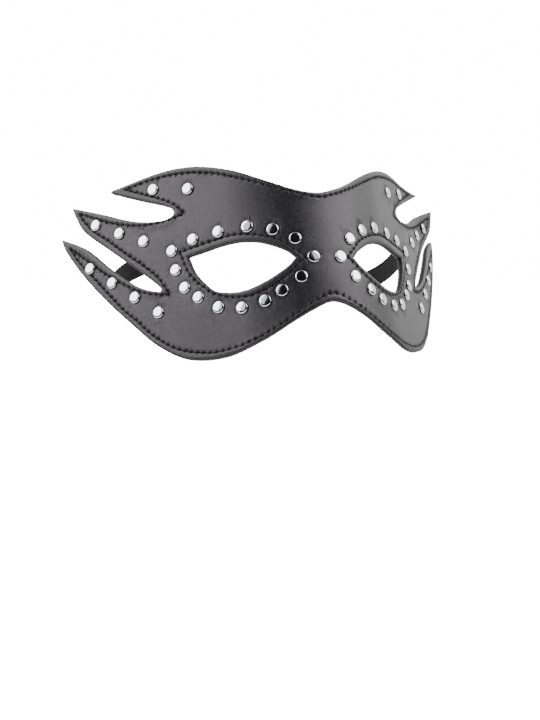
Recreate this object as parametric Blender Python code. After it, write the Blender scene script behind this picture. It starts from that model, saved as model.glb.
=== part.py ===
# Black faux leather half mask with three flame points a side, chrome rivets and an elastic strap.
# Units are metres. X is the wearer's left, -Y the way the face looks and +Z up. The origin is where
# the lining rests on the bridge of the nose. Both layers of leather are cut from one flat pattern,
# which has u to the side of the nose and v up from the line through the corners of the eyes.

import math

import bmesh
import bpy
from mathutils import Matrix, Vector

# Flat pattern, one half
EYE_INSET = 0.0150  # centre line to the inner corner of the eye hole
EYE_LENGTH = 0.0534  # inner corner to outer corner
EYE_RISE = 0.0140  # highest point of the hole above the eye line
EYE_DROP = 0.0110  # lowest point of the hole below the eye line
TEMPLE_LENGTH = 0.0163  # outer corner of the hole to the root of the bottom flame
FLAME_REACH = 0.0557  # that root to the tip of the bottom flame
TOP_RISE = 0.0610  # highest point of the leather above the eye line
CHEEK_DROP = 0.0406  # lowest point of the leather below the eye line

# Bend round the face, seen from above, outwards from the centre line
NOSE_ARC = 0.0200
NOSE_TURN = math.radians(26.4)
CHEEK_ARC = 0.0260
CHEEK_TURN = math.radians(16.8)
TEMPLE_TURN = math.radians(6.4)
LEAN = math.radians(22.9)  # the top of the mask leans back with the bridge of the nose

# Layers
FACE_THICKNESS = 0.0012
LINING_THICKNESS = 0.0012
LAYER_GAP = 0.0003

# Rivets
CAP_DIAMETER = 0.0060
CAP_HEIGHT = 0.0011
CAP_EDGE = 0.0004
POST_DIAMETER = 0.0022
POST_CLEARANCE = 0.0003
TAIL_DIAMETER = 0.0042
TAIL_THICKNESS = 0.0006
SEAT_GAP = 0.0003
EYE_RIVET_OFFSET = 0.0078  # edge of the eye hole to the rivets' centres

# Elastic strap, in the leaning frame of the mask
STRAP_WIDTH = 0.0115
STRAP_THICKNESS = 0.0012
TAB_END = 0.0055  # middle of the rivet that holds the strap to the strap's cut end
TAB_START = 0.0030  # middle of that rivet to the place where the strap leaves the lining
TAB_RISE = 0.0012  # middle of the strap above that rivet
STRAP_BEND = 0.0040  # radius of the bend where the strap leaves the lining
STRAP_HEADING = math.radians(74)
STRAP_CLIMB = 0.17  # rise for each metre back
HEAD_HALF_WIDTH = 0.0745
SIDE_REACH = 0.1020  # origin to the widest place of the strap's loop
BACK_REACH = 0.1930  # origin to the back of the strap's loop

# How finely the curves are faceted
CURVE_STEPS = 2
NOSE_FOLDS = 4
CHEEK_FOLDS = 3
TEMPLE_FOLDS = 4
RIVET_SIDES = 10
HOLE_SIDES = 6
BEND_STEPS = 3
SIDE_STEPS = 5
BACK_STEPS = 9
CUT_TOLERANCE = 1e-6
FLAT_ANGLE = math.radians(0.5)  # faces that meet at less than this are joined into one
SHARP_ANGLE = math.radians(50)  # edges that turn more than this are shaded sharp

BODY_LENGTH = EYE_INSET + EYE_LENGTH + TEMPLE_LENGTH
HALF_LENGTH = BODY_LENGTH + FLAME_REACH
LINING_NEAR = FACE_THICKNESS + LAYER_GAP
LEATHER_DEPTH = LINING_NEAR + LINING_THICKNESS
HOLE_RADIUS = (POST_DIAMETER / 2 + POST_CLEARANCE) / math.cos(math.pi / HOLE_SIDES)

# Outer edge of one half, from the top of the centre line round to the bottom of it.
# Columns: share of BODY_LENGTH, share of FLAME_REACH, share of TOP_RISE or, below zero, of CHEEK_DROP
TOP_TIP = (1.000, 0.40, 0.990)
MIDDLE_TIP = (1.000, 0.83, 0.965)
BOTTOM_TIP = (1.000, 1.00, 0.730)
BROW = (
    (0.000, 0.00, 0.533),
    (0.118, 0.00, 0.562),
    (0.236, 0.00, 0.656),
    (0.472, 0.00, 0.826),
    (0.708, 0.00, 0.951),
    (0.945, 0.00, 1.000),
    TOP_TIP,
)
TOP_NOTCH = (
    TOP_TIP,
    (1.000, 0.10, 0.830),
    (0.900, 0.00, 0.705),
    (0.863, 0.00, 0.630),
    (0.945, 0.00, 0.602),
    (1.000, 0.19, 0.675),
    (1.000, 0.55, 0.845),
    MIDDLE_TIP,
)
BOTTOM_NOTCH = (
    MIDDLE_TIP,
    (1.000, 0.82, 0.870),
    (1.000, 0.74, 0.725),
    (1.000, 0.45, 0.465),
    (1.000, 0.19, 0.230),
    (1.000, 0.00, 0.035),
    (1.000, 0.09, 0.045),
    (1.000, 0.27, 0.145),
    (1.000, 0.50, 0.345),
    (1.000, 0.75, 0.590),
    BOTTOM_TIP,
)
CHEEK = (
    BOTTOM_TIP,
    (1.000, 0.97, 0.615),
    (1.000, 0.81, 0.370),
    (1.000, 0.57, 0.075),
    (1.000, 0.32, -0.295),
    (1.000, 0.10, -0.625),
    (0.885, 0.00, -0.875),
    (0.650, 0.00, -1.000),
    (0.413, 0.00, -0.905),
    (0.236, 0.00, -0.755),
    (0.118, 0.00, -0.645),
    (0.000, 0.00, -0.560),
)

# Eye hole, from its inner corner over the top to its outer corner, and back below.
# Columns: share of EYE_LENGTH, share of EYE_RISE or, below zero, of EYE_DROP
INNER_CORNER = (0.00, 0.00)
OUTER_CORNER = (1.00, 0.965)
EYE_TOP = (
    INNER_CORNER,
    (0.09, 0.33),
    (0.28, 0.73),
    (0.47, 0.94),
    (0.66, 1.00),
    (0.84, 0.98),
    OUTER_CORNER,
)
EYE_BOTTOM = (
    OUTER_CORNER,
    (0.94, 0.27),
    (0.80, -0.55),
    (0.66, -0.88),
    (0.48, -1.00),
    (0.28, -0.79),
    (0.09, -0.37),
    INNER_CORNER,
)

# Rivets round the eye. Columns: share of the way along that edge, share of EYE_RIVET_OFFSET
EYE_TOP_RIVETS = (
    (0.10, 0.97),
    (0.27, 1.00),
    (0.46, 1.00),
    (0.69, 1.00),
    (0.93, 1.07),
)
EYE_OUTER_RIVET = 1.30
EYE_BOTTOM_RIVETS = (
    (0.03, 1.04),
    (0.15, 1.04),
    (0.27, 0.86),
    (0.40, 0.88),
    (0.55, 1.00),
    (0.68, 1.07),
    (0.80, 1.01),
    (0.93, 1.01),
)
EYE_INNER_RIVET = 1.05

# Straight rows of rivets on the flames. Columns: name, then for the first and the last rivet
# the shares of BODY_LENGTH, of FLAME_REACH and of TOP_RISE or, below zero, of CHEEK_DROP
FLAME_RIVETS = (
    ("top", (0.98, 0.00, 0.890), (0.755, 0.00, 0.795)),
    ("middle", (1.00, 0.61, 0.755), (1.000, 0.125, 0.480)),
    ("bottom", (1.00, 0.72, 0.405), (1.000, 0.055, -0.220)),
)
FLAME_RIVET_COUNT = {"top": 2, "middle": 3, "bottom": 4}

MATERIALS = {
    # name: base colour, roughness, metallic
    "leather": ((0.018, 0.018, 0.020, 1), 0.34, 0.0),
    "lining": ((0.022, 0.021, 0.022, 1), 0.75, 0.0),
    "chrome": ((0.83, 0.84, 0.86, 1), 0.10, 1.0),
    "elastic": ((0.014, 0.014, 0.015, 1), 0.85, 0.0),
}


def clear_scene():
    for old in list(bpy.data.objects):
        bpy.data.objects.remove(old, do_unlink=True)


def material(name):
    made = bpy.data.materials.get(name)
    if made:
        return made
    colour, roughness, metallic = MATERIALS[name]
    made = bpy.data.materials.new(name)
    made.use_nodes = True
    shader = made.node_tree.nodes["Principled BSDF"]
    shader.inputs["Base Color"].default_value = colour
    shader.inputs["Roughness"].default_value = roughness
    shader.inputs["Metallic"].default_value = metallic
    return made


def add_object(name, mesh, material_name):
    if not mesh.materials:
        mesh.materials.append(material(material_name))
    made = bpy.data.objects.new(name, mesh)
    bpy.context.collection.objects.link(made)
    return made


def mesh_from(bm, name):
    bmesh.ops.recalc_face_normals(bm, faces=bm.faces[:])
    mesh = bpy.data.meshes.new(name)
    bm.to_mesh(mesh)
    bm.free()
    return mesh


def height(share, rise, drop):
    return share * (rise if share >= 0 else drop)


def pattern_point(row):
    body, flame, up = row
    return Vector((body * BODY_LENGTH + flame * FLAME_REACH, height(up, TOP_RISE, CHEEK_DROP)))


def eye_point(row):
    along, up = row
    return Vector((EYE_INSET + along * EYE_LENGTH, height(up, EYE_RISE, EYE_DROP)))


def smooth_through(points, before=None, after=None):
    """Points of a smooth curve through the given ones, with its last point left out."""
    first = before or points[0] * 2 - points[1]
    last = after or points[-1] * 2 - points[-2]
    knots = [first, *points, last]
    curve = []
    for a, b, c, d in zip(knots, knots[1:], knots[2:], knots[3:]):
        for step in range(CURVE_STEPS):
            t = step / CURVE_STEPS
            curve.append(
                (b * 2 + (c - a) * t + (a * 2 - b * 5 + c * 4 - d) * t**2 + (b * 3 - a - c * 3 + d) * t**3) / 2
            )
    return curve


def across(point):
    return Vector((-point.x, point.y))


def outline():
    """The closed outer edge of the whole pattern."""
    brow = [pattern_point(row) for row in BROW]
    cheek = [pattern_point(row) for row in CHEEK]
    half = smooth_through(brow, before=across(brow[1]))
    half += smooth_through([pattern_point(row) for row in TOP_NOTCH])
    half += smooth_through([pattern_point(row) for row in BOTTOM_NOTCH])
    half += smooth_through(cheek, after=across(cheek[-2]))
    half.append(cheek[-1])
    return half + [across(point) for point in reversed(half[1:-1])]


def eye_edges():
    top = [eye_point(row) for row in EYE_TOP]
    bottom = [eye_point(row) for row in EYE_BOTTOM]
    return smooth_through(top) + top[-1:], smooth_through(bottom) + bottom[-1:]


def eye_outline():
    top, bottom = eye_edges()
    return top[:-1] + bottom[:-1]


def along_edge(edge, share):
    """The point that far along an edge of the eye hole, and the direction away from the hole there."""
    lengths = [(b - a).length for a, b in zip(edge, edge[1:])]
    left = share * sum(lengths)
    for a, b, length in zip(edge, edge[1:], lengths):
        if left <= length or b is edge[-1]:
            break
        left -= length
    run = (b - a).normalized()
    return a + run * min(left, length), Vector((-run.y, run.x))


def eye_rivets():
    """Places of the rivets round one eye hole, from its inner corner over the top and back."""
    top, bottom = eye_edges()
    start, start_up = along_edge(top, 0)
    end, end_up = along_edge(top, 1)
    outer_side = along_edge(bottom, 0)[1]
    inner_side = along_edge(bottom, 1)[1]
    places = [start + (start_up + inner_side).normalized() * EYE_INNER_RIVET * EYE_RIVET_OFFSET]
    for share, reach in EYE_TOP_RIVETS:
        point, away = along_edge(top, share)
        places.append(point + away * reach * EYE_RIVET_OFFSET)
    places.append(end + (end_up + outer_side).normalized() * EYE_OUTER_RIVET * EYE_RIVET_OFFSET)
    for share, reach in EYE_BOTTOM_RIVETS:
        point, away = along_edge(bottom, share)
        places.append(point + away * reach * EYE_RIVET_OFFSET)
    return places


def half_rivets():
    """Name and place of each rivet of one half."""
    named = [(f"eye_{i + 1:02d}", place) for i, place in enumerate(eye_rivets())]
    for row, first, last in FLAME_RIVETS:
        count = FLAME_RIVET_COUNT[row]
        start = pattern_point(first)
        end = pattern_point(last)
        for i in range(count):
            named.append((f"{row}_{i + 1}", start.lerp(end, i / (count - 1))))
    return named


def strap_rivet():
    """The rivet outside the outer corner of the eye also holds the strap."""
    return eye_rivets()[len(EYE_TOP_RIVETS) + 1]


def bend_stations():
    """Distances from the centre line at which the leather is folded a little."""
    nose = [NOSE_ARC * i / NOSE_FOLDS for i in range(NOSE_FOLDS)]
    cheek = [NOSE_ARC + CHEEK_ARC * i / CHEEK_FOLDS for i in range(CHEEK_FOLDS)]
    start = NOSE_ARC + CHEEK_ARC
    temple = [start + (HALF_LENGTH - start) * i / TEMPLE_FOLDS for i in range(TEMPLE_FOLDS + 1)]
    return nose + cheek + temple


def plan_frame(u):
    """Place and heading, seen from above, of the front of the leather at u on the +X side."""
    place = Vector((0.0, -LEATHER_DEPTH))
    heading = 0.0
    temple_arc = HALF_LENGTH - NOSE_ARC - CHEEK_ARC
    for arc, turn in ((NOSE_ARC, NOSE_TURN), (CHEEK_ARC, CHEEK_TURN), (temple_arc, TEMPLE_TURN)):
        run = min(max(u, 0.0), arc)
        radius = arc / turn
        after = heading + run / radius
        place += radius * Vector((math.sin(after) - math.sin(heading), math.cos(heading) - math.cos(after)))
        heading = after
        u -= arc
    return place, heading


def plan_point(u, depth):
    """Plan place at u and that depth behind the front of the leather, on flats between the folds."""
    stations = bend_stations()
    side = -1.0 if u < 0 else 1.0
    u = min(abs(u), stations[-1])
    i = max(k for k, station in enumerate(stations[:-1]) if station <= u)
    ends = []
    for station in stations[i : i + 2]:
        place, heading = plan_frame(station)
        ends.append(place + depth * Vector((-math.sin(heading), math.cos(heading))))
    point = ends[0].lerp(ends[1], (u - stations[i]) / (stations[i + 1] - stations[i]))
    return Vector((side * point.x, point.y))


def leaned(x, y, z):
    return Matrix.Rotation(-LEAN, 3, "X") @ Vector((x, y, z))


def on_leather(u, v, depth):
    point = plan_point(u, depth)
    return leaned(point.x, point.y, v)


def add_loop(bm, points):
    verts = [bm.verts.new((point.x, 0, point.y)) for point in points]
    for a, b in zip(verts, verts[1:] + verts[:1]):
        bm.edges.new((a, b))


def hole_corners(place):
    """Corners of a rivet's hole in the flat pattern."""
    turns = [Matrix.Rotation(math.tau * i / HOLE_SIDES, 2) for i in range(HOLE_SIDES)]
    return [place + turn @ Vector((0, HOLE_RADIUS)) for turn in turns]


def leather_layer(name, near, far, material_name):
    """One layer of the pattern, from one depth to another, with its eye holes and rivet holes."""
    bm = bmesh.new()
    add_loop(bm, outline())
    eye = eye_outline()
    add_loop(bm, eye)
    add_loop(bm, [across(point) for point in eye])
    for _, place in half_rivets():
        add_loop(bm, hole_corners(place))
        add_loop(bm, hole_corners(across(place)))
    bmesh.ops.triangle_fill(bm, edges=bm.edges[:], use_beauty=True)
    for station in bend_stations()[:-1]:
        for u in sorted({station, -station}):
            cut = bmesh.ops.bisect_plane(
                bm,
                geom=bm.verts[:] + bm.edges[:] + bm.faces[:],
                dist=CUT_TOLERANCE,
                plane_co=(u, 0, 0),
                plane_no=(1, 0, 0),
            )
            for part in cut["geom_cut"]:
                if isinstance(part, bmesh.types.BMEdge):
                    part.seam = True
    bmesh.ops.dissolve_limit(
        bm, angle_limit=FLAT_ANGLE, verts=bm.verts[:], edges=bm.edges[:], delimit={"SEAM"}
    )
    made = bmesh.ops.extrude_face_region(bm, geom=bm.faces[:], use_keep_orig=True)
    back = {part for part in made["geom"] if isinstance(part, bmesh.types.BMVert)}
    for vert in bm.verts:
        vert.co = on_leather(vert.co.x, vert.co.z, far if vert in back else near)
    bmesh.ops.triangulate(bm, faces=bm.faces[:])
    return add_object(name, mesh_from(bm, name), material_name)


def rivet_mesh(name, stack):
    """Cap, post and set tail as one turned solid. stack is the depth of what the post holds."""
    cap = CAP_DIAMETER / 2
    post = POST_DIAMETER / 2
    tail = TAIL_DIAMETER / 2
    cap_top = SEAT_GAP + CAP_HEIGHT
    tail_top = -stack - SEAT_GAP
    profile = (
        (cap - CAP_EDGE, cap_top),
        (cap, cap_top - CAP_EDGE),
        (cap, SEAT_GAP),
        (post, SEAT_GAP),
        (post, tail_top),
        (tail, tail_top),
        (tail, tail_top - TAIL_THICKNESS),
    )
    bm = bmesh.new()
    verts = [bm.verts.new((radius, 0, level)) for radius, level in profile]
    edges = [bm.edges.new(pair) for pair in zip(verts, verts[1:])]
    bmesh.ops.spin(
        bm,
        geom=verts + edges,
        axis=(0, 0, 1),
        cent=(0, 0, 0),
        angle=math.tau,
        steps=RIVET_SIDES,
        use_merge=True,
    )
    bmesh.ops.holes_fill(bm, edges=bm.edges[:], sides=RIVET_SIDES)
    mesh = mesh_from(bm, name)
    mesh.shade_smooth()
    mesh.set_sharp_from_angle(angle=SHARP_ANGLE)
    return mesh


def rivet(name, mesh, place):
    """A rivet square to the leather at that place of the pattern."""
    side = -1.0 if place.x < 0 else 1.0
    heading = plan_frame(abs(place.x))[1]
    out = leaned(side * math.sin(heading), -math.cos(heading), 0)
    up = leaned(0, 0, 1)
    across_axis = up.cross(out)
    made = add_object(name, mesh, "chrome")
    turn = Matrix((across_axis, up, out)).transposed().to_4x4()
    made.matrix_world = Matrix.Translation(on_leather(place.x, place.y, 0)) @ turn
    return made


def strap_plan():
    """Middle of the strap from above, from its cut end on the +X side to the back of the head."""
    depth = LEATHER_DEPTH + LAYER_GAP + STRAP_THICKNESS / 2
    rivet_u = strap_rivet().x
    points = [plan_point(rivet_u - TAB_END, depth), plan_point(rivet_u + TAB_START, depth)]
    tab = points[1] - points[0]
    tab_heading = math.atan2(tab.y, tab.x)
    turn = STRAP_HEADING - tab_heading
    for i in range(BEND_STEPS):
        heading = tab_heading + turn * (i + 0.5) / BEND_STEPS
        step = STRAP_BEND * turn / BEND_STEPS
        points.append(points[-1] + step * Vector((math.cos(heading), math.sin(heading))))
    start = points[-1]
    side = Vector((HEAD_HALF_WIDTH, SIDE_REACH))
    third = (side - start).length / 3
    leave = start + third * Vector((math.cos(STRAP_HEADING), math.sin(STRAP_HEADING)))
    arrive = side - Vector((0, third))
    for i in range(1, SIDE_STEPS + 1):  # a cubic curve from the bend to the widest place
        t = i / SIDE_STEPS
        s = 1 - t
        points.append(start * s**3 + leave * 3 * s * s * t + arrive * 3 * s * t * t + side * t**3)
    depth_of_back = BACK_REACH - SIDE_REACH
    quarter = BACK_STEPS + 0.5  # the facet at the very back lies half on each side of the centre line
    for i in range(1, BACK_STEPS + 1):
        turn = math.pi / 2 * i / quarter
        points.append(side + Vector((HEAD_HALF_WIDTH * (math.cos(turn) - 1), depth_of_back * math.sin(turn))))
    return points


def strap_section(before, point, after, middle):
    """The four corners of the strip where it passes a point of its plan."""
    run = ((point - before).normalized() + (after - point).normalized()).normalized()
    out = Vector((run.y, -run.x)) * STRAP_THICKNESS / 2
    corners = []
    for side, rise in ((1, -0.5), (1, 0.5), (-1, 0.5), (-1, -0.5)):
        corner = point + out * side
        corners.append(leaned(corner.x, corner.y, middle + rise * STRAP_WIDTH))
    return corners


def bridged(sections):
    """A closed mesh through closed loops of corners, with flat ends."""
    bm = bmesh.new()
    loops = []
    for corners in sections:
        verts = [bm.verts.new(corner) for corner in corners]
        loops.append([bm.edges.new(pair) for pair in zip(verts, verts[1:] + verts[:1])])
    for one, other in zip(loops, loops[1:]):
        bmesh.ops.bridge_loops(bm, edges=one + other)
    for end in (loops[0], loops[-1]):
        bmesh.ops.contextual_create(bm, geom=end)
    return bm


def strap_hole(side, place):
    """A cutter for a rivet's hole through the strap, which stays inside the leather at its front."""
    corners = hole_corners(place)
    near = LEATHER_DEPTH / 2
    far = LEATHER_DEPTH + 2 * LAYER_GAP + 2 * STRAP_THICKNESS
    bm = bridged([[on_leather(corner.x, corner.y, depth) for corner in corners] for depth in (near, far)])
    cutter = add_object(f"strap_hole_{side}", mesh_from(bm, f"strap_hole_{side}"), "elastic")
    cutter.hide_render = True
    cutter.display_type = "WIRE"
    return cutter


def strap():
    """The elastic band, one strip from tab to tab round the head, with a hole for each of its rivets."""
    half = strap_plan()
    path = half + [across(point) for point in reversed(half)]
    level = strap_rivet().y + TAB_RISE
    back_from = half[1].y
    ends = [path[0] * 2 - path[1], *path, path[-1] * 2 - path[-2]]
    sections = []
    for before, point, after in zip(ends, path, ends[2:]):
        middle = level + STRAP_CLIMB * max(point.y - back_from, 0)
        sections.append(strap_section(before, point, after, middle))
    made = add_object("strap", mesh_from(bridged(sections), "strap"), "elastic")
    for side, place in (("left", strap_rivet()), ("right", across(strap_rivet()))):
        cutter = strap_hole(side, place)
        cut = made.modifiers.new(f"rivet_hole_{side}", "BOOLEAN")
        cut.operation = "DIFFERENCE"
        cut.object = cutter
    return made


def main():
    clear_scene()
    leather_layer("mask_face", 0, FACE_THICKNESS, "leather")
    leather_layer("mask_lining", LINING_NEAR, LEATHER_DEPTH, "lining")
    strap()
    short = rivet_mesh("stud", LEATHER_DEPTH)
    long = rivet_mesh("strap_stud", LEATHER_DEPTH + LAYER_GAP + STRAP_THICKNESS)
    holder = strap_rivet()
    for name, place in half_rivets():
        mesh = long if place == holder else short
        rivet(f"stud_left_{name}", mesh, place)
        rivet(f"stud_right_{name}", mesh, across(place))


main()
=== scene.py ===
# Black faux leather half mask with flame-shaped sides, chrome rivets, lock stitching and an elastic
# strap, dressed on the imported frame. Everything is in metres; u and v are the flat pattern's own axes.
import math

import bmesh
import bpy
from mathutils import Matrix, Quaternion, Vector, kdtree, noise


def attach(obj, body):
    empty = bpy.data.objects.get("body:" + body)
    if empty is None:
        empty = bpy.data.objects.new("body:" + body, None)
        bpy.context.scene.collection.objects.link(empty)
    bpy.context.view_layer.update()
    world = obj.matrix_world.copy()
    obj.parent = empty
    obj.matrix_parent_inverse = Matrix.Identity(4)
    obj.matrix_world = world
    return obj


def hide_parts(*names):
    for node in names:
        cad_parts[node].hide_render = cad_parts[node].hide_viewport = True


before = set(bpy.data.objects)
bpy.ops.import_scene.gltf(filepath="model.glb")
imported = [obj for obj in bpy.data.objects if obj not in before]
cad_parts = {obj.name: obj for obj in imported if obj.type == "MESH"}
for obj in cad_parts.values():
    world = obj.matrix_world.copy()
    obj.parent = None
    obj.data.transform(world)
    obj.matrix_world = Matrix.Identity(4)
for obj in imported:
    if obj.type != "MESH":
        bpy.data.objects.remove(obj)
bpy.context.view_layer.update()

# The flat pattern, as it was cut: sizes first, then its edges as shares of them
pattern = {
    "eyeInset": 0.0150,
    "eyeLength": 0.0534,
    "eyeRise": 0.0140,
    "eyeDrop": 0.0110,
    "templeLength": 0.0163,
    "flameReach": 0.0557,
    "topRise": 0.0610,
    "cheekDrop": 0.0406,
}
pattern["body"] = pattern["eyeInset"] + pattern["eyeLength"] + pattern["templeLength"]
pattern["half"] = pattern["body"] + pattern["flameReach"]

# Edges of one half, each from one corner to the next:
# share of body, of flameReach, and of topRise or, below zero, of cheekDrop
outerEdges = {
    "brow": [(0.000, 0.00, 0.533), (0.118, 0.00, 0.562), (0.236, 0.00, 0.642), (0.472, 0.00, 0.826),
             (0.708, 0.00, 0.960), (0.945, 0.00, 1.008), (1.000, 0.43, 0.994)],
    "topNotch": [(1.000, 0.43, 0.994), (1.000, 0.10, 0.830), (0.900, 0.00, 0.705),
                 (0.863, 0.00, 0.630), (0.945, 0.00, 0.602), (1.000, 0.19, 0.675),
                 (1.000, 0.55, 0.845), (1.000, 0.86, 0.978)],
    "bottomNotch": [(1.000, 0.86, 0.978), (1.000, 0.82, 0.870), (1.000, 0.74, 0.725),
                    (1.000, 0.45, 0.465), (1.000, 0.19, 0.230), (1.000, 0.00, 0.035),
                    (1.000, 0.09, 0.045), (1.000, 0.27, 0.145), (1.000, 0.50, 0.345),
                    (1.000, 0.75, 0.590), (1.000, 1.018, 0.744)],
    "cheek": [(1.000, 1.018, 0.744), (1.000, 0.97, 0.615), (1.000, 0.81, 0.370),
              (1.000, 0.57, 0.075), (1.000, 0.32, -0.295), (1.000, 0.10, -0.625),
              (0.885, 0.00, -0.885), (0.650, 0.00, -0.975), (0.413, 0.00, -0.882),
              (0.236, 0.00, -0.732), (0.118, 0.00, -0.630), (0.000, 0.00, -0.545)],
}
notchRoots = {"topNotch": 3, "bottomNotch": 5}  # which point of the edge is the notch's root

# Edges of the eye hole: share of eyeLength, and of eyeRise or, below zero, of eyeDrop
eyeEdges = {
    "top": [(0.00, 0.00), (0.09, 0.33), (0.28, 0.73), (0.47, 0.94), (0.66, 1.00), (0.84, 0.98),
            (1.00, 0.965)],
    "bottom": [(1.00, 0.965), (0.94, 0.27), (0.80, -0.55), (0.66, -0.88), (0.48, -1.00),
               (0.28, -0.79), (0.09, -0.37), (0.00, 0.00)],
}

# The seam inside the edge, in millimetres of u and v, each line from one turn of the needle to the next
seamEdges = {
    "brow": [(0, 30.2), (8, 31.8), (19.5, 36.7), (33.7, 44.2), (49.4, 52.2), (63.2, 56.9),
             (75.5, 59.1), (87.1, 59.8), (98.9, 59.5)],
    "topNotchUp": [(98.9, 59.5), (89, 53.8), (80.3, 48.6), (72.9, 43.3), (67.2, 36.7)],
    "topNotchDown": [(67.2, 36.7), (75.5, 36), (85.3, 36.6), (95, 38.8), (104.2, 42.4),
                     (114.1, 47.2), (128.2, 55.3)],
    "bottomNotchUp": [(128.2, 55.3), (125.2, 49.6), (119.1, 42.1), (112.3, 35.9), (102.5, 26),
                      (93.5, 17.2), (85.9, 8.6), (80.2, -1.8)],
    "bottomNotchDown": [(80.2, -1.8), (87.5, 0.3), (94.1, 2.9), (101.2, 7.4), (110.5, 14.9),
                        (117.2, 20.7), (127.4, 30.6), (136.2, 39.1)],
    "cheek": [(136.2, 39.1), (130.7, 29.4), (121.9, 17.7), (113.4, 6), (106.6, -3), (100.3, -9.8),
              (94.3, -17.1), (88.2, -23.1), (81.1, -28.7), (72.8, -32.8), (62, -35.9),
              (52.6, -36.5), (43.7, -35.9), (35, -34), (27, -30.9), (18.9, -27.1), (9, -21.9),
              (0, -18.6)],
}
eyeSeamEdges = {
    "top": [(10.8, 0), (15.4, 4.5), (20.8, 9.7), (27.5, 13.4), (34, 15.9), (40.8, 17.7), (48, 18.4),
            (55.7, 18.2), (65, 18), (72.6, 17.7)],
    "bottom": [(72.6, 17.7), (71.1, 13.6), (69.2, 6.9), (65.4, 0.9), (61.9, -3.1), (56.4, -8.2),
               (47.1, -12.3), (38.6, -13.6), (31.5, -12.3), (24.5, -9.7), (19, -6.6), (14.6, -2.9),
               (10.8, 0)],
}
cutting = {
    # How much higher each half was cut than stitched; 1 is the wearer's left
    "edgeLift": {1: 0.0009, -1: 0.0},
    "eyeLift": {1: 0.0, -1: 0.0006},
    "liftOver": 0.010,
    # How much wider each brow's margin is, from where and over what length it widens
    "browMargin": {1: 0.0, -1: 0.0007},
    "browFrom": 0.02,
    "browOver": 0.03,
    "blunting": 9,  # rounds that take the sharpness off the corners
    "inset": 0.0030,  # usual distance from the edge to the seam
    "spacing": 0.0005,  # between points along the seam and along the edge beside it
}

# How the sheet bends round the face, seen from above, and leans back
bend = {
    "arcs": [(0.0200, math.radians(26.4)), (0.0260, math.radians(16.8))],
    "templeTurn": math.radians(6.4),
    "lean": math.radians(22.9),
    "faceThickness": 0.0012,
    "layerGap": 0.0003,
    "liningThickness": 0.0012,
}
bend["arcs"].append((pattern["half"] - bend["arcs"][0][0] - bend["arcs"][1][0], bend["templeTurn"]))
bend["liningNear"] = bend["faceThickness"] + bend["layerGap"]
bend["depth"] = bend["liningNear"] + bend["liningThickness"]


def easeOut(share):
    share = min(max(share, 0.0), 1.0)
    return share * share * (3 - 2 * share)


def patternPoint(row):
    body, flame, rise = row
    u = body * pattern["body"] + flame * pattern["flameReach"]
    return Vector((u, rise * pattern["topRise" if rise >= 0 else "cheekDrop"]))


def eyePoint(row):
    along, rise = row
    return Vector((pattern["eyeInset"] + along * pattern["eyeLength"],
                   rise * pattern["eyeRise" if rise >= 0 else "eyeDrop"]))


def across(point):
    return Vector((-point.x, point.y))


# One list of points for each stretch between two knots, on a smooth curve through all of them
def curve(knots, before=None, after=None, steps=20):
    ends = [before or knots[0] * 2 - knots[1], *knots, after or knots[-1] * 2 - knots[-2]]
    stretches = []
    for a, b, c, d in zip(ends, ends[1:], ends[2:], ends[3:]):
        stretch = []
        for step in range(steps + 1):
            t = step / steps
            stretch.append((b * 2 + (c - a) * t + (a * 2 - b * 5 + c * 4 - d) * t ** 2
                            + (b * 3 - a - c * 3 + d) * t ** 3) / 2)
        stretches.append(stretch)
    return stretches


def joined(stretches):
    points = list(stretches[0])
    for stretch in stretches[1:]:
        points += stretch[1:]
    return points


def lengthOf(points):
    return sum((b - a).length for a, b in zip(points, points[1:]))


# That many equal steps along a line of points, both ends kept
def spread(points, count):
    step = lengthOf(points) / count
    placed = [points[0]]
    walked = 0.0
    for a, b in zip(points, points[1:]):
        run = (b - a).length
        while run and len(placed) < count and walked + run >= step * len(placed) - 1e-9:
            placed.append(a.lerp(b, (step * len(placed) - walked) / run))
        walked += run
    return placed[:count] + [points[-1]]


def seamLine(rows, before=None, after=None):
    knots = [Vector((u, v)) / 1000 for u, v in rows]
    return joined(curve(knots, before and across(knots[1]), after and across(knots[-2])))


def lifted(points, lift):
    return [point + Vector((0, lift * easeOut(point.x / cutting["liftOver"]))) for point in points]


# Pairs of lines for one half: a stretch of the cut edge and the stretch of the seam beside it
def halfOutline(side):
    knots = {name: [patternPoint(row) for row in rows] for name, rows in outerEdges.items()}
    brow = joined(curve(knots["brow"], before=across(knots["brow"][1])))
    margin = cutting["browMargin"][side]
    brow = [point + Vector((0, margin * easeOut((point.x - cutting["browFrom"]) / cutting["browOver"])))
            for point in brow]
    pairs = [(brow, seamLine(seamEdges["brow"], before=True))]
    for name, root in notchRoots.items():
        stretches = curve(knots[name])
        pairs.append((joined(stretches[:root]), seamLine(seamEdges[name + "Up"])))
        pairs.append((joined(stretches[root:]), seamLine(seamEdges[name + "Down"])))
    pairs.append((joined(curve(knots["cheek"], after=across(knots["cheek"][-2]))),
                  seamLine(seamEdges["cheek"], after=True)))
    return [(lifted(edge, cutting["edgeLift"][side]), line) for edge, line in pairs]


def eyePairs(side):
    pairs = []
    for name, rows in eyeEdges.items():
        edge = joined(curve([eyePoint(row) for row in rows]))
        pairs.append((lifted(edge, cutting["eyeLift"][side]), seamLine(eyeSeamEdges[name])))
    return pairs


# Both lines of each pair in as many equal steps, so that rows of faces between them come out square
def evenly(pairs):
    edge, line = [], []
    for outer, inner in pairs:
        count = max(4, round((lengthOf(outer) + lengthOf(inner)) / 2 / cutting["spacing"]))
        edge += spread(outer, count)[:-1]
        line += spread(inner, count)[:-1]
    edge.append(pairs[-1][0][-1])
    line.append(pairs[-1][1][-1])
    return edge, line


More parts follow.
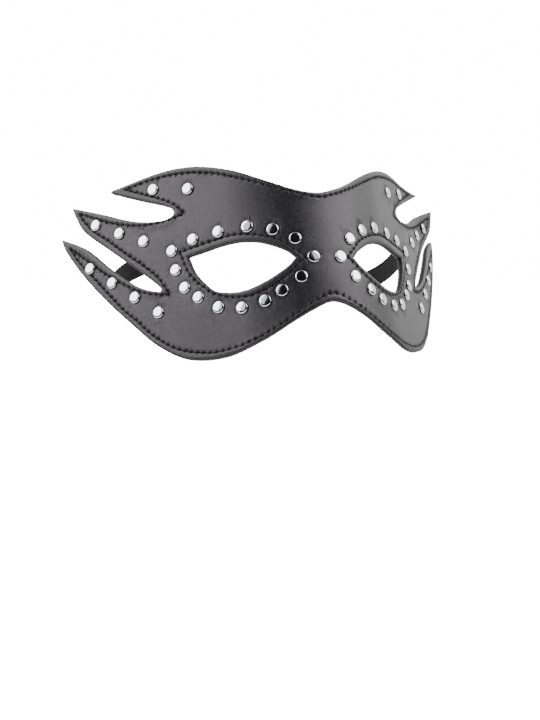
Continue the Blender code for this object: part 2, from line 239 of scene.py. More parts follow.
# Place and heading, seen from above, of the front of the leather at u
def planFrame(u):
    place = Vector((0.0, -bend["depth"]))
    heading = 0.0
    left = max(u, 0.0)
    for arc, turn in bend["arcs"]:
        run = min(left, arc)
        radius = arc / turn
        after = heading + run / radius
        place += radius * Vector((math.sin(after) - math.sin(heading),
                                  math.cos(heading) - math.cos(after)))
        heading = after
        left -= run
    return place, heading


leanBack = Matrix.Rotation(-bend["lean"], 3, "X")
flames = {
    # The line below each flame: a place on it, u and v, and its slope
    "roots": [("top", 0.095, 0.050, 0.60), ("middle", 0.110, 0.0245, 0.97)],
    # How far each tip has curled: from u, to u, outwards, upwards; 1 is the wearer's left
    1: {"top": (0.085, 0.107, 0.0031, 0.0), "middle": (0.106, 0.131, 0.0042, 0.0),
        "bottom": (0.110, 0.142, 0.0, 0.0)},
    -1: {"top": (0.085, 0.107, 0.0, 0.0004), "middle": (0.095, 0.131, 0.0, 0.0012),
         "bottom": (0.112, 0.142, 0.0, 0.0012)},
}


# Outwards and upwards move of a place on one of the flames
def curled(u, v):
    reach = abs(u)
    name = next((name for name, start, level, slope in flames["roots"]
                 if v > level + (reach - start) * slope), "bottom")
    start, end, out, up = flames[1 if u > 0 else -1][name]
    share = max(0.0, (reach - start) / (end - start)) ** 2
    return out * share, up * share


def onLeather(u, v, depth):
    out, up = curled(u, v)
    depth -= out
    v += up
    place, heading = planFrame(abs(u))
    place = place + depth * Vector((-math.sin(heading), math.cos(heading)))
    return leanBack @ Vector((math.copysign(place.x, u), place.y, v))


def outwards(u):
    heading = planFrame(abs(u))[1]
    return leanBack @ Vector((math.copysign(math.sin(heading), u), -math.cos(heading), 0))


# u and v of a place on or near the leather, found by halving
def flattened(point):
    level = leanBack.inverted() @ point
    low, high = 0.0, pattern["half"]
    for _ in range(30):
        middle = (low + high) / 2
        place, heading = planFrame(middle)
        ahead = Vector((abs(level.x), level.y)) - place
        if ahead.dot(Vector((math.cos(heading), math.sin(heading)))) > 0:
            low = middle
        else:
            high = middle
    return Vector((math.copysign(low, level.x), level.z))


def mirrored(points):
    return [across(point) for point in points]


# The knife and wear leave no corner quite sharp
def blunted(loop, passes):
    for _ in range(passes):
        loop = [(before + point * 2 + after) / 4
                for before, point, after in zip(loop[-1:] + loop[:-1], loop, loop[1:] + loop[:1])]
    return loop


halves = {side: evenly(halfOutline(side)) for side in (1, -1)}
outerLoop = blunted(halves[1][0] + mirrored(halves[-1][0][1:-1])[::-1], cutting["blunting"])
seamLoop = halves[1][1] + mirrored(halves[-1][1][1:-1])[::-1]
eyes = {side: [line[:-1] for line in evenly(eyePairs(side))] for side in (1, -1)}
eyeLoops = [eyes[1], [mirrored(line) for line in eyes[-1]]]

studPlaces = {}
for name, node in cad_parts.items():
    if name.startswith("stud_"):
        corners = {tuple(round(x, 6) for x in vert.co) for vert in node.data.vertices}
        studPlaces[name] = flattened(sum((Vector(corner) for corner in corners), Vector()) / len(corners))
print("pattern laid out:", len(outerLoop), "points round the edge,", len(studPlaces), "rivets")


# The flat sheet stands upright: u along X and v along Z, with its depth along Y
def standing(point):
    return Vector((point.x, 0, point.y))


def treeOf(points):
    tree = kdtree.KDTree(len(points))
    for i, point in enumerate(points):
        tree.insert(standing(point), i)
    tree.balance()
    return tree


edgeTree = treeOf(outerLoop + eyeLoops[0][0] + eyeLoops[1][0])
seamTree = treeOf(seamLoop + eyeLoops[0][1] + eyeLoops[1][1])
studTree = treeOf(list(studPlaces.values()))

stitch = {
    "pitch": 0.0034,
    "thread": 0.00021,  # half the thread's width
    "steps": 6,
    # Doubled stitches on the wearer's right brow: u from, to, the shift, and the v they lie above
    "again": (0.0700, 0.0850, 0.0007, 0.050),
    "ride": 0.00012,  # depth of the thread's middle between two needle holes
    "dive": 0.00110,  # and in a needle hole
    "bow": 0.6,  # the lower, the steeper the thread comes out of its hole
}


# Needle holes round a closed seam, spaced to come out even
def stitchPoints(loop):
    line = loop + loop[:1]
    return spread(line, round(lengthOf(line) / stitch["pitch"]))[:-1]


needleHoles = [stitchPoints(seamLoop), stitchPoints(eyeLoops[0][1]), stitchPoints(eyeLoops[1][1])]
holeTree = treeOf([point for holes in needleHoles for point in holes])

relief = {
    "edgeRound": 0.0006,
    "edgeSink": 0.00035,
    # The border puffs up between the edge and the seam
    "padRise": 0.00022,
    "padFrom": 0.0012,
    "padTo": 1.3,  # times the inset
    "padFade": 0.0015,
    "grooveHalf": 0.0007,
    "grooveDepth": 0.00026,
    "grooveShade": 0.4,
    "pitRadius": 0.00110,
    "pitDepth": 0.00070,
    "pitShade": 1.4,
    "dimpleFrom": 0.0026,
    "dimpleReach": 0.0044,
    "dimpleDepth": 0.00024,
    # Slow waves, which die out towards the seam
    "swellDepth": 0.00022,
    "swellSize": 0.022,
    "swellFade": 0.006,
    "swellRow": 0.3,  # which slice of the noise they are
}


# How far the grain side lies behind the smooth bent sheet at that place
def reliefDepth(u, v):
    at = (u, 0, v)
    edge = edgeTree.find(at)[2]
    line = seamTree.find(at)[2]
    hole = holeTree.find(at)[2]
    stud = studTree.find(at)[2]
    depth = 0.0
    if edge < relief["edgeRound"]:
        share = 1 - edge / relief["edgeRound"]
        depth += relief["edgeSink"] * (1 - math.sqrt(max(0.0, 1 - share * share)))
    depth -= (relief["padRise"] * easeOut(edge / relief["padFrom"])
              * easeOut((cutting["inset"] * relief["padTo"] - edge) / relief["padFade"]))
    depth += relief["grooveDepth"] * (1 - easeOut(line / relief["grooveHalf"]))
    depth += relief["pitDepth"] * (1 - easeOut(hole / relief["pitRadius"]))
    if stud < relief["dimpleReach"]:
        start = relief["dimpleFrom"]
        depth += relief["dimpleDepth"] * (1 - easeOut((stud - start) / (relief["dimpleReach"] - start)))
    wave = noise.noise(Vector((u, relief["swellRow"], v)) / relief["swellSize"])
    return depth + relief["swellDepth"] * wave * easeOut(line / relief["swellFade"])


# How much shade is painted into the leather's colour in the groove and the needle holes, from 0 to 1
def paintedShade(u, v):
    groove = 1 - easeOut(seamTree.find((u, 0, v))[2] / relief["grooveHalf"])
    pit = 1 - easeOut(holeTree.find((u, 0, v))[2] / relief["pitRadius"])
    return max(relief["grooveShade"] * groove, min(1.0, relief["pitShade"] * pit))


sheet = {
    "fieldMark": 5,  # material number of the field's faces while they are made
    "rounds": 6,
    "smoothRounds": 2,
    "longest": 1.4,  # times the size asked for, before an edge is split
    "sliver": 0.00003,
    "nearReach": 0.0008,
    "nearFade": 0.004,
    "dimpleRadius": 0.0042,
    "dimpleSides": 24,
    "dimpleToSeam": 0.0003,
    "postHole": 0.0016,
    "backSize": 0.0034,
    "rimRows": [0.0006, 0.0009, 0.0012],
}
grainDetail = {
    "borderRows": [0.05, 0.12, 0.22, 0.36, 0.52, 0.68, 0.84, 1.0],  # shares of the way to the seam
    "fieldSize": 0.0028,
    "nearSize": 0.0010,
    "dimpleRings": 5,
}
backDetail = {
    "borderRows": [0.10, 0.30, 0.55, 0.78, 1.0],
    "fieldSize": 0.0036,
    "nearSize": 0.0012,
    "dimpleRings": 2,
}


# A closed loop of edges through those places, and the number of each corner
def addLoop(bm, places):
    verts = [bm.verts.new(place) for place in places]
    loop = [bm.edges.new(pair) for pair in zip(verts, verts[1:] + verts[:1])]
    return loop, {vert: i for i, vert in enumerate(verts)}


# One more row of faces on a loop of edges; corner i of the new loop goes to placeOf(i)
def addRow(bm, loop, numbers, placeOf):
    made = bmesh.ops.extrude_edge_only(bm, edges=loop)["geom"]
    row = {}
    for vert in made:
        if isinstance(vert, bmesh.types.BMVert):
            partner = next(rung.other_vert(vert) for rung in vert.link_edges
                           if rung.other_vert(vert) in numbers)
            row[vert] = numbers[partner]
            vert.co = placeOf(row[vert])
    return openEdges(made), row


def openEdges(parts):
    return [part for part in parts if isinstance(part, bmesh.types.BMEdge) and len(part.link_faces) == 1]


# Rows of faces from a cut edge to the seam beside it; gives the edges along the seam
def addBorder(bm, edge, line, shares):
    loop, numbers = addLoop(bm, [standing(point) for point in edge])
    for share in shares:
        loop, numbers = addRow(bm, loop, numbers, lambda i: standing(edge[i].lerp(line[i], share)))
    for rung in loop:
        rung.seam = True
    return loop


def fieldFaces(bm):
    return [face for face in bm.faces if face.material_index == sheet["fieldMark"]]


# Edges of the field in the mesh's own order, so that each run gives the same triangles
def fieldEdges(bm):
    edges = dict.fromkeys(edge for face in fieldFaces(bm) for edge in face.edges)
    return [edge for edge in edges if not edge.seam]


# Splits long edges of the marked faces and evens the triangles out; edges on a loop stay whole
def refine(bm, sizeAt):
    for left in range(sheet["rounds"], 0, -1):
        long = []
        for edge in fieldEdges(bm):
            middle = (edge.verts[0].co + edge.verts[1].co) / 2
            if edge.calc_length() > sheet["longest"] * sizeAt(middle):
                long.append(edge)
        bmesh.ops.subdivide_edges(bm, edges=long, cuts=1)
        bmesh.ops.dissolve_degenerate(bm, dist=sheet["sliver"], edges=fieldEdges(bm))
        bmesh.ops.triangulate(bm, faces=[face for face in fieldFaces(bm) if len(face.verts) > 3])
        bmesh.ops.beautify_fill(bm, faces=fieldFaces(bm), edges=fieldEdges(bm), method="ANGLE")
        if left <= sheet["smoothRounds"]:
            verts = dict.fromkeys(vert for face in fieldFaces(bm) for vert in face.verts)
            free = [vert for vert in verts if not any(edge.seam for edge in vert.link_edges)]
            bmesh.ops.smooth_vert(bm, verts=free, factor=0.5, use_axis_x=True, use_axis_y=False,
                                  use_axis_z=True)


# Fills a flat region between closed loops of edges with even triangles
def fillField(bm, edges, sizeAt):
    known = set(bm.faces)
    bmesh.ops.triangle_fill(bm, edges=edges, use_beauty=True)
    for face in bm.faces:
        if face not in known:
            face.material_index = sheet["fieldMark"]
    refine(bm, sizeAt)
    for face in fieldFaces(bm):
        face.material_index = 0


# Size of the field's triangles: small beside the seam
def fieldSize(detail):
    def sizeAt(place):
        line = seamTree.find(place)[2]
        share = easeOut((line - sheet["nearReach"]) / sheet["nearFade"])
        return detail["nearSize"] + (detail["fieldSize"] - detail["nearSize"]) * share
    return sizeAt


# The seen side of a sheet in the flat: borders in rows, ringed dimples and an even field between
def flatSide(detail):
    bm = bmesh.new()
    seams = addBorder(bm, outerLoop, seamLoop, detail["borderRows"])
    for edge, line in eyeLoops:
        seams += addBorder(bm, edge, line, detail["borderRows"])
    circles = []
    for place in studPlaces.values():
        centre = standing(place)
        reach = min(sheet["dimpleRadius"], seamTree.find(centre)[2] - sheet["dimpleToSeam"])
        ring = bmesh.ops.create_circle(
            bm, cap_ends=True, radius=reach, segments=sheet["dimpleSides"],
            matrix=Matrix.Translation(centre) @ Matrix.Rotation(math.pi / 2, 4, "X"))
        cap = ring["verts"][0].link_faces[0]
        first = len(bm.faces) - 1
        step = (reach - sheet["postHole"]) / detail["dimpleRings"]
        for _ in range(detail["dimpleRings"]):
            bmesh.ops.inset_individual(bm, faces=[cap], thickness=step, use_even_offset=True)
        bmesh.ops.delete(bm, geom=[cap], context="FACES_ONLY")
        bm.faces.ensure_lookup_table()
        free = openEdges(edge for face in bm.faces[first:] for edge in face.edges)
        for edge in free:
            edge.seam = True
        circles += [edge for edge in free
                    if all((vert.co - centre).length > reach * 0.99 for vert in edge.verts)]
    fillField(bm, seams + circles, fieldSize(detail))
    return bm


def addPiece(name, bm, materials, nodes, sharp=None):
    mesh = bpy.data.meshes.new(name)
    bm.to_mesh(mesh)
    bm.free()
    for each in materials:
        mesh.materials.append(each)
    mesh.shade_smooth()
    if sharp:
        mesh.set_sharp_from_angle(angle=math.radians(sharp))
    piece = bpy.data.objects.new(name, mesh)
    bpy.context.scene.collection.objects.link(piece)
    if nodes:
        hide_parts(*nodes)
    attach(piece, "root")


# Makes the flat side a closed layer: a rim in rows behind every edge, then a plain other side
def closedLayer(bm, start, heading):
    for vert in bm.verts:
        vert.co.y = start
    rim = openEdges(bm.edges)
    for row in sheet["rimRows"]:
        made = bmesh.ops.extrude_edge_only(bm, edges=rim)["geom"]
        for part in made:
            if isinstance(part, bmesh.types.BMVert):
                part.co.y = start + heading * row
            elif isinstance(part, bmesh.types.BMFace):
                part.material_index = 1
        rim = openEdges(made)
    for edge in bm.edges:
        edge.seam = False
    for edge in rim:
        edge.seam = True
    fillField(bm, rim, lambda place: sheet["backSize"])
    bmesh.ops.recalc_face_normals(bm, faces=bm.faces[:])


# Bends a flat layer round the face, with the relief pressed into the side that lies at start
def bendLayer(bm, start, heading):
    paintedHoleShade = bm.verts.layers.float.new("paintedHoleShade")
    for vert in bm.verts:
        u, depth, v = vert.co
        if abs(depth - start) < 1e-5:
            depth += heading * reliefDepth(u, v)
            # Painted shade of the groove and needle holes, kept on the vertex for the leather's colour
            vert[paintedHoleShade] = paintedShade(u, v)
        vert.co = onLeather(u, v, depth)


# A node with its inputs set or linked; settings are the node's own properties
def addNode(tree, kind, inputs=None, **settings):
    node = tree.nodes.new("ShaderNode" + kind)
    for name, value in settings.items():
        setattr(node, name, value)
    for name, value in (inputs or {}).items():
        if isinstance(value, bpy.types.NodeSocket):
            tree.links.new(value, node.inputs[name])
        else:
            node.inputs[name].default_value = value
    return node


# A colour between two, by a share from 0 to 1
def blend(tree, share, low, high):
    mix = addNode(tree, "Mix", {"Factor": share, "A": low, "B": high}, data_type="RGBA")
    return mix.outputs["Result"]


# Roughness between two values, where the noise has nearly all of its own
def roughness(tree, cloud, look):
    level = addNode(tree, "MapRange", {"Value": cloud, "From Min": 0.3, "From Max": 0.7,
                                       "To Min": look["smooth"], "To Max": look["rough"]})
    return level.outputs[0]


def newMaterial(name):
    made = bpy.data.materials.new(name)
    made.use_nodes = True
    made.node_tree.nodes.clear()
    return made, made.node_tree


def finishMaterial(tree, inputs):
    shader = addNode(tree, "BsdfPrincipled", inputs)
    addNode(tree, "OutputMaterial", {"Surface": shader.outputs[0]})


grainShape = {
    "warpScale": 260.0,
    "warp": (0.0004, 0.0004, 0.0004),
    "valley": 0.28,
    "poreScale": 2600.0,
    "pores": 0.4,  # share of the height that the pores make
    "cloudScale": 38.0,
}


# Shared effect: height of pebbled grain with finer pores, from 0 to 1, and a slow cloudy mask
def grainGroup():
    group = bpy.data.node_groups.new("pebbledGrain", "ShaderNodeTree")
    group.interface.new_socket("Size", in_out="INPUT", socket_type="NodeSocketFloat")
    group.interface.new_socket("Height", in_out="OUTPUT", socket_type="NodeSocketFloat")
    group.interface.new_socket("Cloud", in_out="OUTPUT", socket_type="NodeSocketFloat")
    entry = group.nodes.new("NodeGroupInput")
    leave = group.nodes.new("NodeGroupOutput")
    place = addNode(group, "TexCoord").outputs["Object"]
    scale = addNode(group, "Math", {0: 1.0, 1: entry.outputs["Size"]}, operation="DIVIDE").outputs[0]
    warp = addNode(group, "TexNoise", {"Vector": place, "Scale": grainShape["warpScale"], "Detail": 3.0})
    shift = addNode(group, "VectorMath", {0: warp.outputs["Color"], 1: grainShape["warp"]},
                    operation="MULTIPLY")
    moved = addNode(group, "VectorMath", {0: place, 1: shift.outputs[0]}, operation="ADD")
    cells = addNode(group, "TexVoronoi", {"Vector": moved.outputs[0], "Scale": scale},
                    feature="DISTANCE_TO_EDGE")
    pebble = addNode(group, "MapRange", {"Value": cells.outputs["Distance"],
                                          "From Max": grainShape["valley"]},
                     interpolation_type="SMOOTHSTEP")
    fine = addNode(group, "TexNoise", {"Vector": place, "Scale": grainShape["poreScale"], "Detail": 4.0})
    height = addNode(group, "Mix", {"Factor": grainShape["pores"], "A": pebble.outputs[0],
                                    "B": fine.outputs["Fac"]})
    cloud = addNode(group, "TexNoise", {"Vector": place, "Scale": grainShape["cloudScale"],
                                        "Detail": 4.0})
    group.links.new(height.outputs[0], leave.inputs["Height"])
    group.links.new(cloud.outputs["Fac"], leave.inputs["Cloud"])
    return group


grain = grainGroup()
leatherLook = {
    "color": (0.0078, 0.0076, 0.0090, 1),
    "worn": (0.0115, 0.0112, 0.0130, 1),
    # Painted shade: the colour the leather gets down in the needle holes and along the thread
    "paintedShade": (0.0022, 0.0022, 0.0025, 1),  # down in the needle holes and along the thread
    "dull": 0.95,
    "tint": (1.0, 0.95, 0.985, 1),
    "smooth": 0.30,
    "rough": 0.36,
    "grainSize": 0.0006,
    "grainDepth": 0.00010,
    "grainStrength": 0.6,
}


def leatherMaterial():
    made, tree = newMaterial("satin_faux_leather")
    effect = addNode(tree, "Group", node_tree=grain)
    effect.inputs["Size"].default_value = leatherLook["grainSize"]
    paintedHoleShade = addNode(tree, "Attribute", attribute_name="paintedHoleShade").outputs["Fac"]
    color = blend(tree, effect.outputs["Cloud"], leatherLook["color"], leatherLook["worn"])
    rough = roughness(tree, effect.outputs["Cloud"], leatherLook)
    dull = addNode(tree, "Mix", {"Factor": paintedHoleShade, "A": rough, "B": leatherLook["dull"]})
    bump = addNode(tree, "Bump", {"Height": effect.outputs["Height"],
                                  "Distance": leatherLook["grainDepth"],
                                  "Strength": leatherLook["grainStrength"]})
    # Painted shade darkens the base colour in the groove and the needle holes, which the same mask also
    # makes rougher
    finishMaterial(tree, {
        "Base Color": blend(tree, paintedHoleShade, color, leatherLook["paintedShade"]), "Roughness": dull.outputs[0],
        "IOR": 1.5, "Specular Tint": leatherLook["tint"], "Normal": bump.outputs[0]})
    return made


cutLooks = {
    "cut_edge": {"color": (0.006, 0.006, 0.0065, 1), "fiber": (0.016, 0.015, 0.015, 1), "rough": 0.85},
    "backing_edge": {"color": (0.030, 0.030, 0.032, 1), "fiber": (0.070, 0.068, 0.070, 1), "rough": 0.7},
    "fiberScale": 2400.0,
    "fiberDepth": 0.00012,
}


def cutMaterial(name):
    look = cutLooks[name]
    made, tree = newMaterial(name)
    place = addNode(tree, "TexCoord").outputs["Object"]
    fiber = addNode(tree, "TexNoise", {"Vector": place, "Scale": cutLooks["fiberScale"],
                                       "Detail": 5.0}).outputs["Fac"]
    bump = addNode(tree, "Bump", {"Height": fiber, "Distance": cutLooks["fiberDepth"]})
    finishMaterial(tree, {"Base Color": blend(tree, fiber, look["color"], look["fiber"]),
                          "Roughness": look["rough"], "Normal": bump.outputs[0]})
    return made


liningLook = {"color": (0.020, 0.0195, 0.020, 1), "rubbed": (0.030, 0.029, 0.030, 1), "rough": 0.72,
              "grainSize": 0.0007, "grainDepth": 0.00006}


def liningMaterial():
    made, tree = newMaterial("matt_backing")
    effect = addNode(tree, "Group", node_tree=grain)
    effect.inputs["Size"].default_value = liningLook["grainSize"]
    color = blend(tree, effect.outputs["Cloud"], liningLook["color"], liningLook["rubbed"])
    bump = addNode(tree, "Bump", {"Height": effect.outputs["Height"],
                                  "Distance": liningLook["grainDepth"]})
    finishMaterial(tree, {"Base Color": color, "Roughness": liningLook["rough"],
                          "Normal": bump.outputs[0]})
    return made


chromeLook = {"color": (0.83, 0.84, 0.86, 1), "dull": (0.74, 0.75, 0.77, 1), "smooth": 0.07,
              "rough": 0.16, "hazeScale": 520.0}


def chromeMaterial():
    made, tree = newMaterial("polished_chrome")
    place = addNode(tree, "TexCoord").outputs["Object"]
    haze = addNode(tree, "TexNoise", {"Vector": place, "Scale": chromeLook["hazeScale"],
                                      "Detail": 5.0}).outputs["Fac"]
    finishMaterial(tree, {"Base Color": blend(tree, haze, chromeLook["color"], chromeLook["dull"]),
                          "Metallic": 1.0, "Roughness": roughness(tree, haze, chromeLook)})
    return made


threadLook = {"color": (0.0025, 0.0025, 0.0028, 1), "light": (0.008, 0.008, 0.009, 1), "twist": 1500.0,
              "depth": 0.00008, "rough": 0.75, "gloss": 0.15}


def threadMaterial():
    made, tree = newMaterial("waxed_thread")
    place = addNode(tree, "TexCoord").outputs["Object"]
    twist = addNode(tree, "TexWave", {"Vector": place, "Scale": threadLook["twist"], "Distortion": 2.0},
                    bands_direction="DIAGONAL").outputs["Fac"]
    bump = addNode(tree, "Bump", {"Height": twist, "Distance": threadLook["depth"]})
    finishMaterial(tree, {"Base Color": blend(tree, twist, threadLook["color"], threadLook["light"]),
                          "Roughness": threadLook["rough"], "Specular IOR Level": threadLook["gloss"],
                          "Normal": bump.outputs[0]})
    return made


elasticLook = {"color": (0.0025, 0.0025, 0.003, 1), "light": (0.008, 0.008, 0.009, 1), "picks": 0.0007,
               "ends": 0.00048, "depth": 0.00012, "rough": 0.85, "gloss": 0.2}


# Woven elastic: threads crossing along and across the band, read from the band's own map in metres
def elasticMaterial():
    made, tree = newMaterial("woven_elastic")
    place = addNode(tree, "UVMap", uv_map="band").outputs[0]
    parts = addNode(tree, "SeparateXYZ", {"Vector": place})
    waves = []
    for axis, pitch in (("X", elasticLook["picks"]), ("Y", elasticLook["ends"])):
        turn = addNode(tree, "Math", {0: parts.outputs[axis], 1: math.tau / pitch}, operation="MULTIPLY")
        waves.append(addNode(tree, "Math", {0: turn.outputs[0]}, operation="SINE").outputs[0])
    woven = addNode(tree, "Math", {0: waves[0], 1: waves[1]}, operation="MULTIPLY")
    share = addNode(tree, "MapRange", {"Value": woven.outputs[0], "From Min": -1.0}).outputs[0]
    bump = addNode(tree, "Bump", {"Height": share, "Distance": elasticLook["depth"]})
    finishMaterial(tree, {"Base Color": blend(tree, share, elasticLook["color"], elasticLook["light"]),
                          "Roughness": elasticLook["rough"], "Specular IOR Level": elasticLook["gloss"],
                          "Normal": bump.outputs[0]})
    return made


leather = leatherMaterial()
cutEdge = cutMaterial("cut_edge")
backingEdge = cutMaterial("backing_edge")
backing = liningMaterial()
chrome = chromeMaterial()
thread = threadMaterial()
elastic = elasticMaterial()

layers = [
    # piece, node, slot, materials, detail, depth of the seen side and the way to the other side
    ("leather_face", "mask_face", "leather", [leather, cutEdge], grainDetail, 0.0, 1),
    ("leather_lining", "mask_lining", "lining", [backing, backingEdge], backDetail, bend["depth"], -1),
]
for name, node, slot, materials, detail, start, heading in layers:
    layer = flatSide(detail)
    closedLayer(layer, start, heading)
    bendLayer(layer, start, heading)
    print(name, "bent:", len(layer.faces), "faces")
    addPiece(name, layer, materials, [node], sharp=50)


# The thread's middle: deep in each needle hole, out in the groove halfway between two
def threadRoute(holes, surface, heading, closed=True):
    points = []
    for a, b in zip(holes, holes[1:] + holes[:1] if closed else holes[1:]):
        for step in range(stitch["steps"]):
            share = step / stitch["steps"]
            rise = math.sin(math.pi * share) ** stitch["bow"]
            depth = stitch["dive"] + (stitch["ride"] - stitch["dive"]) * rise
            place = a.lerp(b, share)
            points.append(onLeather(place.x, place.y, surface + heading * depth))
    return points


def stitching():
    seams = bpy.data.curves.new("stitching", "CURVE")
    seams.dimensions = "3D"
    seams.bevel_depth = stitch["thread"]
    seams.bevel_resolution = 2
    start, end, shift, above = stitch["again"]
    again = [point + Vector((0, -shift)) for point in needleHoles[0]
             if -end < point.x < -start and point.y > above]
    for surface, heading in ((0.0, 1), (bend["depth"], -1)):
        for holes in [*needleHoles, again]:
            route = threadRoute(holes, surface, heading, closed=holes is not again)
            line = seams.splines.new("POLY")
            line.points.add(len(route) - 1)
            for spot, place in zip(line.points, route):
                spot.co = (*place, 1)
            line.use_cyclic_u = holes is not again
    guide = bpy.data.objects.new("stitching_guide", seams)
    mesh = bpy.data.meshes.new_from_object(guide)
    bm = bmesh.new()
    bm.from_mesh(mesh)
    bpy.data.objects.remove(guide)
    bpy.data.meshes.remove(mesh)
    return bm


addPiece("stitching", stitching(), [thread], [])
print("stitching done")

rivet = {
    # Radius and height in millimetres, of the cap from its middle to the post and of the set tail
    "profile": [(0.0, 1.06), (0.9, 1.042), (1.7, 0.995), (2.4, 0.92), (2.67, 0.82), (2.85, 0.65),
                (2.94, 0.42), (2.97, 0.22), (2.90, 0.06), (2.6, 0.0), (1.1, 0.05)],
    "tail": [(1.1, 0.0), (1.95, 0.04), (2.1, 0.2), (2.0, 0.45), (1.6, 0.6), (0.8, 0.62), (0.0, 0.52)],
    "sunk": 0.0001,  # how far the cap lies below the smooth sheet
    "segments": 28,
    "strapRivets": ["stud_left_eye_07", "stud_right_eye_07"],
    "strapStack": 0.0015,  # how much more these two clamp
}


# Cap, post and set tail turned as one solid on +Z, then set square to the sheet
def rivetBody(place, stack):
    bm = bmesh.new()
    line = [(radius / 1000, level / 1000 - rivet["sunk"]) for radius, level in rivet["profile"]]
    line += [(radius / 1000, -stack - level / 1000) for radius, level in rivet["tail"]]
    verts = [bm.verts.new((radius, 0, level)) for radius, level in line]
    edges = [bm.edges.new(pair) for pair in zip(verts, verts[1:])]
    bmesh.ops.spin(bm, geom=verts + edges, axis=(0, 0, 1), cent=(0, 0, 0), angle=math.tau,
                   steps=rivet["segments"], use_merge=True)
    bmesh.ops.remove_doubles(bm, verts=bm.verts[:], dist=1e-6)
    bmesh.ops.recalc_face_normals(bm, faces=bm.faces[:])
    turn = outwards(place.x).to_track_quat("Z", "Y").to_matrix().to_4x4()
    bm.transform(Matrix.Translation(onLeather(place.x, place.y, 0)) @ turn)
    return bm


for name, place in studPlaces.items():
    stack = bend["depth"] + (rivet["strapStack"] if name in rivet["strapRivets"] else 0.0)
    addPiece(name.replace("stud", "rivet"), rivetBody(place, stack), [chrome], [name], sharp=60)
print("rivets set:", len(studPlaces))

strap = {
    "rivet": "stud_left_eye_07",
    "width": 0.0115,
    "thickness": 0.0012,
    "tabEnd": 0.0055,
    "tabStart": 0.0030,
    "tabRise": 0.0012,
    "bend": 0.0040,
    "heading": math.radians(74),
    "climb": 0.17,
    "halfWidth": 0.0745,
    "sideReach": 0.1020,
    "backReach": 0.1930,
    "ribs": 11,
    "ribDepth": 0.00012,
    "squareness": 24,
    "rim": 0.25,  # thickness at the two long edges, as a share
    "acrossSteps": 44,
    "bendSteps": 10,
    "sideSteps": 50,
    "backSteps": 70,
}


# Middle of the strap seen from above, from its cut end on the +X side to the back of the head
def strapPlan():
    depth = bend["depth"] + bend["layerGap"] + strap["thickness"] / 2
    rivetAt = studPlaces[strap["rivet"]].x
    points = []
    for u in (rivetAt - strap["tabEnd"], rivetAt, rivetAt + strap["tabStart"]):
        place, heading = planFrame(u)
        points.append(place + depth * Vector((-math.sin(heading), math.cos(heading))))
    turn = strap["heading"] - heading
    for i in range(strap["bendSteps"]):
        angle = heading + turn * (i + 0.5) / strap["bendSteps"]
        step = strap["bend"] * turn / strap["bendSteps"]
        points.append(points[-1] + step * Vector((math.cos(angle), math.sin(angle))))
    start = points[-1]
    side = Vector((strap["halfWidth"], strap["sideReach"]))
    third = (side - start).length / 3
    leave = start + third * Vector((math.cos(strap["heading"]), math.sin(strap["heading"])))
    arrive = side - Vector((0, third))
    for i in range(1, strap["sideSteps"] + 1):
        t = i / strap["sideSteps"]
        s = 1 - t
        points.append(start * s ** 3 + leave * 3 * s * s * t + arrive * 3 * s * t * t + side * t ** 3)
    back = strap["backReach"] - strap["sideReach"]
    for i in range(1, strap["backSteps"]):
        turn = math.pi / 2 * i / strap["backSteps"]
        points.append(side + Vector((strap["halfWidth"] * (math.cos(turn) - 1), back * math.sin(turn))))
    points.append(side + Vector((-strap["halfWidth"], back)))
    return points


# Section of the band: distance outwards and height, once round, with ribs along both flat sides
def bandSection():
    half = strap["width"] / 2
    rows = []
    for step in range(strap["acrossSteps"] + 1):
        share = step / strap["acrossSteps"]
        rib = 0.5 + 0.5 * math.cos(math.tau * strap["ribs"] * share)
        thick = strap["thickness"] / 2 - strap["ribDepth"] * rib
        thick *= (math.sqrt(max(0.0, 1 - (2 * share - 1) ** strap["squareness"])) * (1 - strap["rim"])
                  + strap["rim"])
        rows.append((thick, half * (2 * share - 1)))
    return rows + [(-thick, level) for thick, level in reversed(rows)]


# The section run along the strap's way, with a map of metres along and across the band
def strapBand():
    half = strapPlan()
    path = half + mirrored(half[:-1])[::-1]
    ends = [path[0] * 2 - path[1], *path, path[-1] * 2 - path[-2]]
    level = studPlaces[strap["rivet"]].y + strap["tabRise"]
    section = bandSection()
    bm = bmesh.new()
    bandMap = bm.loops.layers.uv.new("band")
    walked = 0.0
    loops = []
    mapped = {}
    for before, point, after in zip(ends, path, ends[2:]):
        tangent = (after - before).normalized()
        side = Vector((tangent.y, -tangent.x))
        middle = level + strap["climb"] * max(point.y - half[2].y, 0)
        walked += (point - before).length
        ring = []
        for out, height in section:
            spot = point + side * out
            ring.append(leanBack @ Vector((spot.x, spot.y, middle + height)))
        if loops:
            loop, numbers = addRow(bm, loops[-1], numbers, ring.__getitem__)
        else:
            loop, numbers = addLoop(bm, ring)
        loops.append(loop)
        for vert, i in numbers.items():
            mapped[vert] = (walked, section[i][1])
    bmesh.ops.edgeloop_fill(bm, edges=loops[0] + loops[-1])
    for face in bm.faces:
        for corner in face.loops:
            corner[bandMap].uv = mapped[corner.vert]
    bmesh.ops.recalc_face_normals(bm, faces=bm.faces[:])
    return bm


addPiece("elastic_strap", strapBand(), [elastic], ["strap"], sharp=60)
print("strap run round the head")

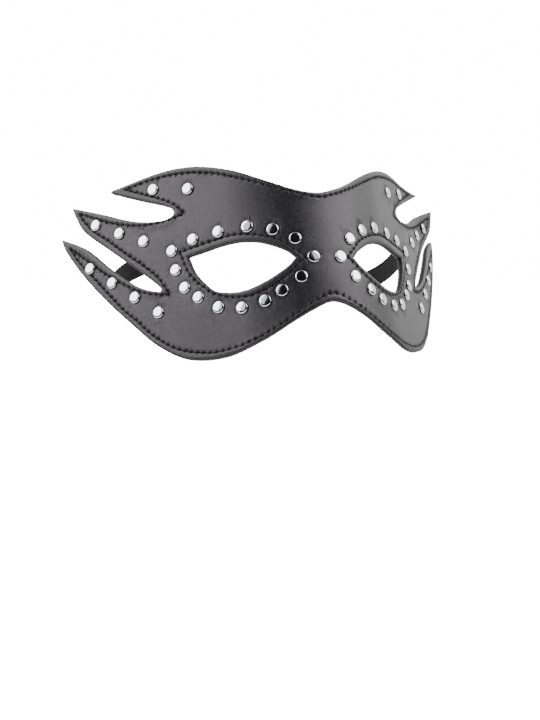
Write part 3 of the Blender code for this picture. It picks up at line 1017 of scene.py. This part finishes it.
studio = {
    "floorLevel": -0.30,
    "floorSize": 12.0,
    "floorColor": (0.92, 0.92, 0.92, 1),
    "whiteGlow": 20.0,  # what the camera sees behind and under the object
    "lights": [
        # name, azimuth and elevation seen from the mask, distance, width and height, watts, roll
        ("window_left", -99, 38, 1.5, (1.0, 1.6), 27, 18),
        ("window_front", 65, 45, 1.5, (1.34, 1.5), 34, 0),
        ("window_right", 114, 34, 1.5, (1.5, 2.0), 6.5, 0),
        # Dim walls, which light little but show in the caps
        ("wall_left", -68, 36, 1.5, (0.60, 0.95), 1.9, 0),
        ("wall_front", 19, 46, 1.5, (0.50, 0.90), 1.3, 0),
    ],
    "aim": (0.0, 0.02, 0.01),
    # What the object mirrors: how bright ahead and behind, and the Y of the view where each begins
    "ahead": 0.012,
    "behind": 1.3,
    "aheadFrom": -0.35,
    "behindFrom": 0.55,
}


def pointAt(source, direction):
    source.rotation_mode = "QUATERNION"
    source.rotation_quaternion = Vector(direction).to_track_quat("-Z", "Y")


def addFloor():
    bm = bmesh.new()
    bmesh.ops.create_grid(bm, x_segments=1, y_segments=1, size=studio["floorSize"],
                          matrix=Matrix.Translation((0, 0, studio["floorLevel"])))
    mesh = bpy.data.meshes.new("floor")
    bm.to_mesh(mesh)
    bm.free()
    made, tree = newMaterial("pale_floor")
    seen = addNode(tree, "LightPath").outputs["Is Camera Ray"]
    glow = addNode(tree, "Math", {0: seen, 1: studio["whiteGlow"]}, operation="MULTIPLY")
    finishMaterial(tree, {"Base Color": studio["floorColor"], "Roughness": 0.9,
                          "Emission Color": (1, 1, 1, 1), "Emission Strength": glow.outputs[0]})
    mesh.materials.append(made)
    floor = bpy.data.objects.new("floor", mesh)
    bpy.context.scene.collection.objects.link(floor)


def addLights():
    for name, azimuth, elevation, distance, size, power, roll in studio["lights"]:
        a = math.radians(azimuth)
        e = math.radians(elevation)
        way = Vector((math.sin(a) * math.cos(e), -math.cos(a) * math.cos(e), math.sin(e)))
        light = bpy.data.lights.new(name, "AREA")
        light.shape = "RECTANGLE"
        light.size, light.size_y = size
        light.energy = power
        lamp = bpy.data.objects.new(name, light)
        lamp.location = Vector(studio["aim"]) + distance * way
        pointAt(lamp, -way)
        lamp.rotation_quaternion @= Quaternion((0, 0, 1), math.radians(roll))
        bpy.context.scene.collection.objects.link(lamp)


# White behind the object; what the object mirrors is bright behind it and dark in front of it
def addWorld():
    world = bpy.data.worlds.new("studio")
    world.use_nodes = True
    tree = world.node_tree
    tree.nodes.clear()
    way = addNode(tree, "TexCoord").outputs["Generated"]
    parts = addNode(tree, "SeparateXYZ", {"Vector": way})
    share = addNode(tree, "MapRange", {
        "Value": parts.outputs["Y"], "From Min": studio["aheadFrom"], "From Max": studio["behindFrom"],
        "To Min": studio["ahead"], "To Max": studio["behind"]}, interpolation_type="SMOOTHSTEP")
    seen = addNode(tree, "LightPath").outputs["Is Camera Ray"]
    level = addNode(tree, "Mix", {"Factor": seen, "A": share.outputs[0], "B": studio["whiteGlow"]})
    sky = addNode(tree, "Background", {"Strength": level.outputs[0]})
    addNode(tree, "OutputWorld", {"Surface": sky.outputs[0]})
    bpy.context.scene.world = world


addFloor()
addLights()
addWorld()

shot = {
    "place": (-0.2156, -0.5158, 0.0004),
    "heading": (0.3412, 0.9360, -0.0861),
    "lens": 59.55,
}
camera = bpy.data.cameras.new("camera")
camera.lens = shot["lens"]
viewer = bpy.data.objects.new("camera", camera)
viewer.location = shot["place"]
pointAt(viewer, shot["heading"])
bpy.context.scene.collection.objects.link(viewer)
bpy.context.scene.camera = viewer
print("studio ready")
